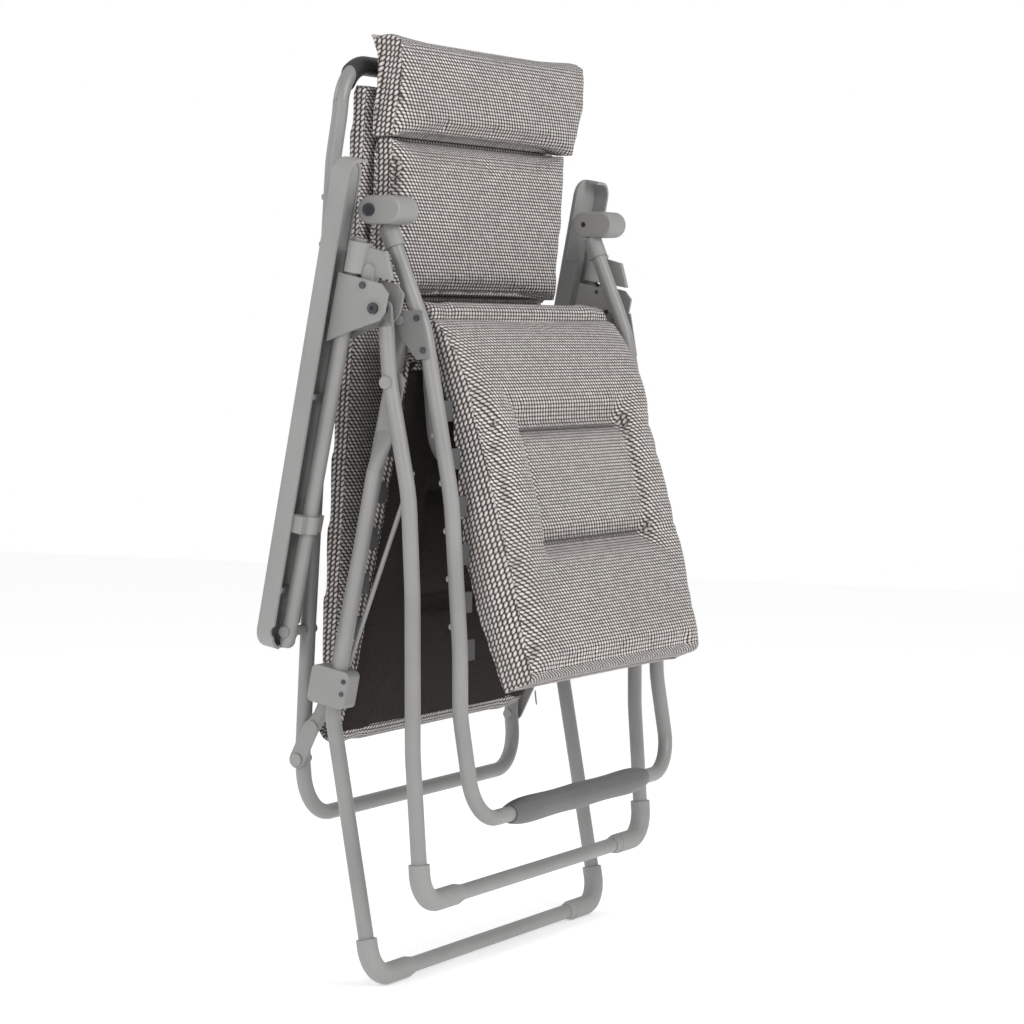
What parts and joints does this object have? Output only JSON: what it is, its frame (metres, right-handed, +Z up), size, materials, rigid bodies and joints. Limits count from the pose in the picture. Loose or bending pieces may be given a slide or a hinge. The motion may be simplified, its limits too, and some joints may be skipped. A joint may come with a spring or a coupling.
{
  "type": "zero gravity recliner",
  "caption": "Folded tubular recliner with padded woven back, seat and legrest, armrests on sliding rails and a hinged leg frame, standing closed on its rear leg bar.",
  "frame": {"origin": "on the floor below the middle of the folded chair's box", "axes": "+Z up, -Y the way the sitter faces when the chair is open, X across the chair, +X the sitter's left"},
  "size_m": [0.712, 0.3474, 1.206],
  "materials": {
    "frame_paint": "satin powder coat",
    "painted_rivet": "satin powder coat",
    "grey_plastic": "fine moulded grain",
    "armrest_plastic": "fine moulded grain",
    "dark_bolt": "dark zinc",
    "rod_steel": "satin",
    "plate_steel": "satin",
    "dark_paint": "satin",
    "sleeve_plastic": "smooth moulded",
    "stud_plastic": "moulded",
    "clip_plastic": "moulded",
    "black_plastic": "moulded",
    "woven_cover": "thick basket weave of light and dark yarn",
    "mesh_cover": "dark mesh underside"
  },
  "bodies": {
    "rear_legs": {"rear_leg_frame": "frame_paint", "leg_rivets": "painted_rivet", "rear_foot_left": "grey_plastic", "rear_foot_right": "grey_plastic"},
    "front_legs": {"front_leg_frame": "frame_paint", "bracket_bolts": "dark_bolt", "front_foot_left": "grey_plastic", "front_foot_right": "grey_plastic"},
    "sliders": {"slider_left": "grey_plastic", "slider_right": "grey_plastic", "slider_screws": "dark_bolt"},
    "brace_rods": {"brace_rod_left": "rod_steel", "brace_rod_right": "rod_steel"},
    "seat": {"seat_tube_left": "frame_paint", "seat_tube_right": "frame_paint", "seat_clips_left": "clip_plastic", "seat_clips_right": "clip_plastic", "seat_pad": "mesh_cover", "seat_pivot_pins": "painted_rivet", "knee_pins": "painted_rivet", "hip_pins": "painted_rivet"},
    "legrest": {"legrest_frame": "frame_paint", "elbow_bolts": "dark_bolt", "knee_plate_screws": "dark_bolt", "knee_hanger_bar": "dark_paint", "foot_sleeve": "sleeve_plastic", "legrest_studs": "stud_plastic", "legrest_pad": "woven_cover", "elbow_left": "grey_plastic", "elbow_right": "grey_plastic", "knee_plate_left": "plate_steel", "knee_plate_right": "plate_steel", "legrest_clips_left": "clip_plastic", "legrest_clips_right": "clip_plastic"},
    "back": {"back_frame": "frame_paint", "rail_pins": "painted_rivet", "back_studs": "stud_plastic", "back_pad": "woven_cover", "head_cushion": "woven_cover", "lumbar_cushion": "woven_cover", "top_corner_cap_left": "black_plastic", "top_corner_cap_right": "black_plastic"},
    "rails": {"rail_left": "frame_paint", "rail_right": "frame_paint", "armrest_left": "armrest_plastic", "armrest_right": "armrest_plastic", "armrest_clip_left": "grey_plastic", "armrest_clip_right": "grey_plastic"},
    "brackets": {"bracket_left": "grey_plastic", "bracket_right": "grey_plastic", "lever_pins": "dark_bolt"},
    "lever_left": {"lock_lever_left": "grey_plastic"},
    "lever_right": {"lock_lever_right": "grey_plastic"}
  },
  "joints": [
    {"name": "fold", "type": "hinge", "parent": "rear_legs", "child": "front_legs", "pos_m": [0, -0.003, 0.766], "axis": [-1, 0, 0], "range_deg": [0, 68]},
    {"name": "slider_travel", "type": "slide", "parent": "rear_legs", "child": "sliders", "axis": [0, -0.2, 0.9798], "range_m": [0, 0.13108]},
    {"name": "brace_swing", "type": "hinge", "parent": "front_legs", "child": "brace_rods", "pos_m": [0, -0.025, 0.652], "axis": [1, 0, 0], "range_deg": [0, 84.04]},
    {"name": "seat_turn", "type": "hinge", "parent": "sliders", "child": "seat", "pos_m": [0, 0.097, 0.385], "axis": [1, 0, 0], "range_deg": [0, 4.73]},
    {"name": "knee_turn", "type": "hinge", "parent": "seat", "child": "legrest", "pos_m": [0, -0.005, 0.844], "axis": [-1, 0, 0], "range_deg": [0, 92.11]},
    {"name": "hip_turn", "type": "hinge", "parent": "seat", "child": "back", "pos_m": [0, 0.148, 0.2814], "axis": [-1, 0, 0], "range_deg": [0, 87.5]},
    {"name": "rail_turn", "type": "hinge", "parent": "back", "child": "rails", "pos_m": [0, 0.139, 0.4495], "axis": [1, 0, 0], "range_deg": [0, 95.26]},
    {"name": "bracket_turn", "type": "hinge", "parent": "front_legs", "child": "brackets", "pos_m": [0, 0.004, 0.858], "axis": [1, 0, 0], "range_deg": [0, 80.49]},
    {"name": "lock_lever_left_pull", "type": "hinge", "parent": "brackets", "child": "lever_left", "pos_m": [0.325, 0.01964, 0.88678], "axis": [1, 0, 0], "range_deg": [0, 20]},
    {"name": "lock_lever_right_pull", "type": "hinge", "parent": "brackets", "child": "lever_right", "pos_m": [-0.325, 0.01964, 0.88678], "axis": [1, 0, 0], "range_deg": [0, 20]}
  ],
  "couplings": [
    {"joint": "slider_travel", "follows": "fold", "m_per_rad": 0.11028},
    {"joint": "brace_swing", "follows": "fold", "ratio": 1.2355},
    {"joint": "seat_turn", "follows": "fold", "ratio": 0.06924},
    {"joint": "knee_turn", "follows": "fold", "ratio": 1.3542},
    {"joint": "hip_turn", "follows": "fold", "ratio": 1.2864},
    {"joint": "rail_turn", "follows": "fold", "ratio": 1.4006},
    {"joint": "bracket_turn", "follows": "fold", "ratio": 1.1834}
  ]
}
